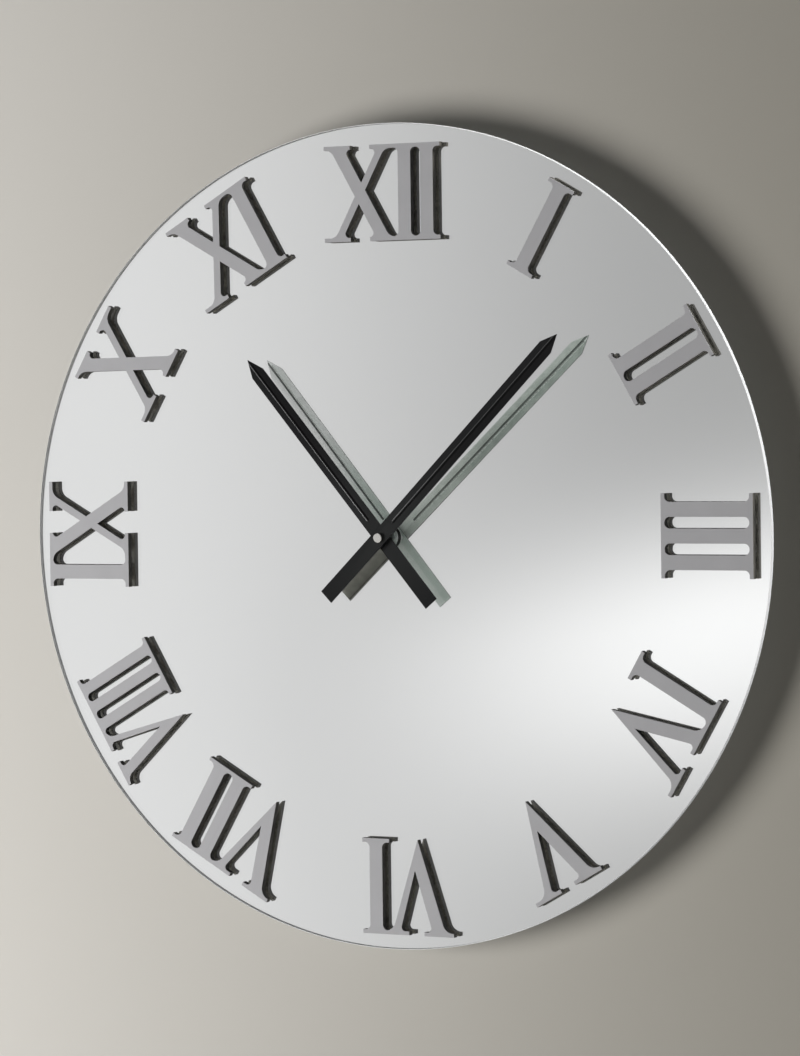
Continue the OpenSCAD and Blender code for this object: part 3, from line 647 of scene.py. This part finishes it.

# Hands: blades of 0.6 mm aluminium sheet with a pressed rib, lacquered satin black in front.
# The lacquer carries a painted highlight along the left of the rib and painted shade on its right.
# The back is left bare and milled, with the rib's groove, and shows pale in the mirror, its tones carrying
# painted light and shade.

RIB_START = 0.0135
RIB_FADE = 0.0006
LINE_AT = -0.00085
LINE_W = 0.0003
LINE_BLUR = 0.00015
RIB_SHADE_AT = 0.00045
RIB_SHADE_W = 0.0010
RIB_SHADE_BLUR = 0.0004
HAND_REACH = 0.09
HUB_REACH = 0.02
TAIL_START = 0.003
TAIL_FULL = 0.007
LEFT_BLUR = 0.0006
BLADE_HALF = 0.0048
LEFT_LIGHT_SHARE = 0.2
GLINT_SHARE = 0.8
GROOVE_W = 0.0012
GROOVE_BLUR = 0.0003
GLINT_SIDE = 0.0013
GLINT_W = 0.0008
GLINT_BLUR = 0.0004
SEAM_AT = 0.0038
SEAM_W = 0.0005
SEAM_BLUR = 0.0003
HOUR_ANGLE = 320.3
HOUR_RIB_END = 0.140
HOUR_GROOVE = (-0.0006, 0.9)
MINUTE_ANGLE = 46
MINUTE_RIB_END = 0.172
MINUTE_GROOVE = (-0.00047, 0.8)


def hand_axes(place, clock_angle):
    """The places along and across a hand, from the dial's axis."""
    x, y, z = place.axes()
    turn = math.radians(clock_angle)
    along = x * math.sin(turn) + (z - AXIS_Z) * math.cos(turn)
    across = x * math.cos(turn) - (z - AXIS_Z) * math.sin(turn)
    return along, across


def stripe(across, middle, width, blur):
    """1 on a line along the hand, falling to 0 at its sides."""
    low = middle - width / 2
    high = middle + width / 2
    return across.rise(low - blur / 2, low + blur / 2) * (1 - across.rise(high - blur / 2, high + blur / 2))


def on_rib(along, rib_end):
    return along.rise(RIB_START, RIB_START + RIB_FADE) * (1 - along.rise(rib_end - RIB_FADE, rib_end))


def hand_lacquer(name, clock_angle, rib_end, highlight_near, highlight_far):
    """Black lacquer with a painted sheen greyer towards the hub, and the rib's painted highlight tones near
    and far.
    """
    finish, place = start_finish(name, {"Specular IOR Level": 0.12})
    along, across = hand_axes(place, clock_angle)
    dust = place.grain(2200.0, 3.0)
    outward = along.math("ABSOLUTE", along, 0.0).rise(0.0, HAND_REACH)
    ribbed = on_rib(along, rib_end)
    # Painted highlight: a light line along the left of the rib, fainter out towards the tip.
    line = ribbed * stripe(across, LINE_AT, LINE_W, LINE_BLUR)
    # Painted shade: a dark stripe along the right flank of the rib.
    rib_shade = ribbed * stripe(across, RIB_SHADE_AT, RIB_SHADE_W, RIB_SHADE_BLUR)
    # Painted sheen: the lacquer is painted greyer near the hub and darker out to the tips, mottled by dust.
    lacquer = (outward + 0.3 * (dust - 0.5)).blend(tone(0.018, 0.0185, 0.0185), tone(0.0055, 0.0055, 0.006))
    # Painted light: the lacquer left of the highlight is painted a little lighter, as lit from the left.
    painted_left_light = LEFT_LIGHT_SHARE * ribbed * (1 - across.rise(LINE_AT - LINE_W, LINE_AT))
    left_lit_lacquer = painted_left_light.blend(lacquer, tone(0.027, 0.028, 0.029))
    rib_shaded = rib_shade.blend(left_lit_lacquer, tone(0.0012, 0.0012, 0.0012))
    rib_highlight_tone = outward.blend(tone(highlight_near, highlight_near, highlight_near), tone(highlight_far, highlight_far, highlight_far))
    feed(finish, {
        "Base Color": line.blend(rib_shaded, rib_highlight_tone),
        "Roughness": 0.36 + 0.14 * dust,
        "Normal": dust.relief(0.08, 0.00005),
    })
    return finish


def bare_back(name, clock_angle, rib_end, groove, metal, light_shares, tail_shade_share):
    """Bare milled aluminium with painted light: lighter left of the rib's groove, a glint beside it, shade
    on a tail.

    The groove is its place across and its depth of painted shade, and light_shares are the painted light far
    out and near."""
    finish, place = start_finish(name, {})
    along, across = hand_axes(place, clock_angle)
    groove_at, groove_share = groove
    far_light, near_light = light_shares
    patina = place.grain(240.0, 5.0) - 0.5
    mill = place.grain(1600.0, 3.0) - 0.5
    ribbed = on_rib(along, rib_end)
    # Painted light: lighter on the left of the groove.
    left = 1 - across.rise(-LEFT_BLUR, LEFT_BLUR)
    # Painted light and shade along the hand, set by the light_shares near the hub and far out.
    near = 1 - along.rise(HUB_REACH, HAND_REACH)
    bright = far_light + (near_light - far_light) * near
    milled_tone_and_painted_light = bright + 0.6 * patina + 0.7 * mill + 0.3 * left
    glint = GLINT_SHARE * ribbed * stripe(across, groove_at + GLINT_SIDE, GLINT_W, GLINT_BLUR)
    # Painted shade in the rib's groove.
    groove_shade = groove_share * ribbed * stripe(across, groove_at, GROOVE_W, GROOVE_BLUR)
    lit = glint.blend(milled_tone_and_painted_light.blend(*metal), tone(0.90, 0.96, 0.92))
    grooved = groove_shade.blend(lit, tone(0.02, 0.03, 0.025))
    # Painted shade on a tail: darker across one side and mottled by the patina.
    tail_shade_mask = 0.2 + 0.6 * across.rise(-BLADE_HALF, BLADE_HALF) + 1.2 * patina
    tail_shade_tone = tail_shade_mask.blend(tone(0.30, 0.30, 0.265), tone(0.13, 0.13, 0.11))
    seam = stripe(across, SEAM_AT, SEAM_W, SEAM_BLUR)
    seamed = seam.blend(tail_shade_tone, tone(0.01, 0.01, 0.009))
    tail = tail_shade_share * (0 - along).rise(TAIL_START, TAIL_FULL)
    feed(finish, {
        "Base Color": tail.blend(grooved, seamed),
        "Metallic": 0.3 + 0.65 * glint,
        "Roughness": 0.52 + 0.2 * mill - 0.3 * glint,
        "Normal": mill.relief(0.15, 0.00005),
    })
    return finish


# Lit and shaded copies: the same bare aluminium is painted paler on the hour hand's back than on the minute
# hand's.
hour_back_lit_tones = (tone(0.56, 0.65, 0.60), tone(0.99, 1.0, 1.0))
hour_finishes = [
    hand_lacquer("hour_lacquer", HOUR_ANGLE, HOUR_RIB_END, 0.42, 0.24),
    bare_back("hour_back", HOUR_ANGLE, HOUR_RIB_END, HOUR_GROOVE, hour_back_lit_tones, (0.78, 0.05), 0.0),
]
minute_back_shaded_tones = (tone(0.30, 0.355, 0.32), tone(0.78, 0.84, 0.79))
minute_finishes = [
    hand_lacquer("minute_lacquer", MINUTE_ANGLE, MINUTE_RIB_END, 0.24, 0.09),
    bare_back("minute_back", MINUTE_ANGLE, MINUTE_RIB_END, MINUTE_GROOVE, minute_back_shaded_tones, (0.1, 0.65), 1.0),
]
hands = [("hour_hand", "hour_arm", hour_finishes), ("minute_hand", "minute_arm", minute_finishes)]
for node, body, finishes in hands:
    hand = welded(node, f"{node}_blade")
    bpy.ops.object.shade_smooth_by_angle(angle=SMOOTH_ANGLE)
    dress(hand, finishes, front_or_back)
    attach(hand, body)
    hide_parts(node)

# Studio: a pale wall that the dial hangs on, painted darker to the right as light falloff, and a floor well
# below it.
# The wall is one-sided and throws no shadow, so that the back of the dial is lit and can be looked at.

WALL_SIZE = 5.0
WALL_PLACE = (0, 0.0003, 0.3)
UPRIGHT = (math.radians(90), 0, 0)
WALL_BLEND = 0.45
FLOOR_SIZE = 8.0
FLOOR_PLACE = (0, -3.0, -1.5)
LEVEL = (0, 0, 0)


def stage_plane(name, size, place, turn):
    """A square of the studio, which is no part of the clock."""
    bpy.ops.object.select_all(action="DESELECT")
    bpy.ops.mesh.primitive_plane_add(size=size, location=place, rotation=turn)
    piece = bpy.context.object
    piece.name = name
    return piece


def ray_masks(tree):
    """Three masks: 1 for what is seen directly, by gloss, and through glass."""
    rays = Wire(tree).node("LightPath").socket.node.outputs
    return [Wire(tree, rays[kind]) for kind in ("Is Camera Ray", "Is Glossy Ray", "Is Transmission Ray")]


wall = stage_plane("wall", WALL_SIZE, WALL_PLACE, UPRIGHT)
floor = stage_plane("floor", FLOOR_SIZE, FLOOR_PLACE, LEVEL)

pale_wall, place = start_finish("pale_wall", {"Roughness": 0.9, "Specular IOR Level": 0.1})
# Painted light falloff: the wall is painted darker from left to right.
painted_falloff_rightward = place.axes()[0].rise(-WALL_BLEND, WALL_BLEND)
feed(pale_wall, {"Base Color": painted_falloff_rightward.blend(tone(0.63, 0.608, 0.565), tone(0.345, 0.325, 0.28))})
painted = Wire(pale_wall.node_tree, pale_wall.node_tree.nodes["Principled BSDF"].outputs[0])
one_sided = place.node("MixShader", 0, None, {
    0: place.node("NewGeometry", "Backfacing"),
    1: painted,
    2: place.node("BsdfTransparent"),
})
wall_output = pale_wall.node_tree.nodes["Material Output"]
pale_wall.node_tree.links.new(one_sided.socket, wall_output.inputs["Surface"])
wall.data.materials.append(pale_wall)
wall.visible_diffuse = False
wall.visible_glossy = False
wall.visible_transmission = False
wall.visible_shadow = False

pale_floor = start_finish("pale_floor", {
    "Base Color": tone(0.40, 0.395, 0.385),
    "Roughness": 0.9,
    "Emission Strength": 1.0,
})[0]
directly, by_gloss, by_glass = ray_masks(pale_floor.node_tree)
looked_at = directly.math("MAXIMUM", directly, by_gloss.math("MAXIMUM", by_gloss, by_glass))
feed(pale_floor, {"Emission Color": looked_at.blend(tone(0.0, 0.0, 0.0), tone(0.36, 0.352, 0.335))})
floor.data.materials.append(pale_floor)

# Room light: an even pale room for what is lit, and for what is mirrored the same room with one
# broad soft lamp low on the left of the viewer, which fades out without an edge.

AMBIENT = 0.06
BACKDROP = 0.72
MIRROR_GAIN = 1.13
ROOM_LEVEL = 0.70
ROOM_FALL = 0.129
DARK_SIDE = 0.325
DARK_EDGE = (-0.642, -0.41)
GLOW_LEVEL = 0.535
GLOW_DROP = 0.0727
GLOW_TILT = 0.188
GLOW_MIDDLE = -0.5
GLOW_BELOW = 0.0456
GLOW_SHORTER = 0.0135
GLOW_LEFT = (-0.567, -0.423)
GLOW_RIGHT = (0.1, 0.7)
LEAST_AHEAD = 0.08
FADE_ASIDE = 0.15

room = bpy.data.worlds.new("room")
room.use_nodes = True
bpy.context.scene.world = room
tree = room.node_tree
background = tree.nodes["Background"]
background.inputs["Color"].default_value = tone(1.0, 1.0, 1.0)
wire = Wire(tree)
x, y, z = wire.node("TexCoord", "Generated").axes()
ahead = wire.math("MAXIMUM", 0 - y, LEAST_AHEAD)
across = x / ahead
level = z / ahead
height = level.node("Clamp", 0, None, {0: level, 1: -1.0, 2: 1.0})
room_tone = ROOM_LEVEL - ROOM_FALL * height - DARK_SIDE * across.rise(*DARK_EDGE)
drop = level + GLOW_DROP - GLOW_TILT * (across - GLOW_MIDDLE)
above = drop > 0.0
spread = GLOW_BELOW - GLOW_SHORTER * above
glow = math.e ** (0 - (drop / spread) * (drop / spread))
lamp = GLOW_LEVEL * glow * across.rise(*GLOW_LEFT) * (1 - across.rise(*GLOW_RIGHT))
facing = (0 - y).rise(0.0, FADE_ASIDE)
mirrored = facing * MIRROR_GAIN * (room_tone + lamp) + (1 - facing) * BACKDROP
directly, by_gloss, by_glass = ray_masks(tree)
seen = wire.math("MAXIMUM", by_gloss, by_glass)
strength = directly * BACKDROP + (1 - directly) * (seen * mirrored + (1 - seen) * AMBIENT)
tree.links.new(strength.socket, background.inputs["Strength"])


def soft_lamp(name, place, size, power):
    """A round lamp that faces the middle of the dial and isn't seen itself."""
    data = bpy.data.lights.new(name, "AREA")
    data.shape = "DISK"
    data.size = size
    data.energy = power
    lamp = bpy.data.objects.new(name, data)
    bpy.context.scene.collection.objects.link(lamp)
    lamp.location = place
    lamp.rotation_mode = "QUATERNION"
    lamp.rotation_quaternion = (Vector((0, 0, AXIS_Z)) - Vector(place)).to_track_quat("-Z", "Y")
    lamp.visible_camera = False
    lamp.visible_glossy = False
    lamp.visible_transmission = False


soft_lamp("key", (-1.36, -1.6, -0.45), 1.3, 45.5)
soft_lamp("fill", (2.4, -0.9, 0.5), 1.2, 1.0)
soft_lamp("edge_light", (1.5, 0.17, 1.5), 0.3, 80.0)
soft_lamp("back_key", (-1.6, 1.9, 1.2), 1.0, 28.0)
soft_lamp("back_fill", (1.9, 1.7, -0.4), 1.2, 9.0)

# Camera: where the photograph was taken from, to the right of the dial and just above its axis.
# Its lens and roll were fitted to the rim and the numerals of the photograph.

FOCAL_PIXELS = 3957.2
PHOTO_HEIGHT = 1056
SENSOR = 36.0
ROLL = -0.735

eye = Vector((1.1195, -2.1404, 0.01995))
aim = Vector((0.00836, -0.02607, -0.04834))
lens = bpy.data.cameras.new("camera")
lens.sensor_width = SENSOR
lens.lens = SENSOR * FOCAL_PIXELS / PHOTO_HEIGHT
lens.clip_start = 0.05
camera = bpy.data.objects.new("camera", lens)
bpy.context.scene.collection.objects.link(camera)
camera.location = eye
camera.rotation_mode = "QUATERNION"
level_view = (aim - eye).to_track_quat("-Z", "Y")
camera.rotation_quaternion = level_view @ Quaternion((0, 0, 1), math.radians(ROLL))
bpy.context.scene.camera = camera
bpy.context.scene.view_settings.view_transform = "Standard"
# Keeps the light that reaches the backs of the hands by way of the mirror
bpy.context.scene.cycles.blur_glossy = 0.0
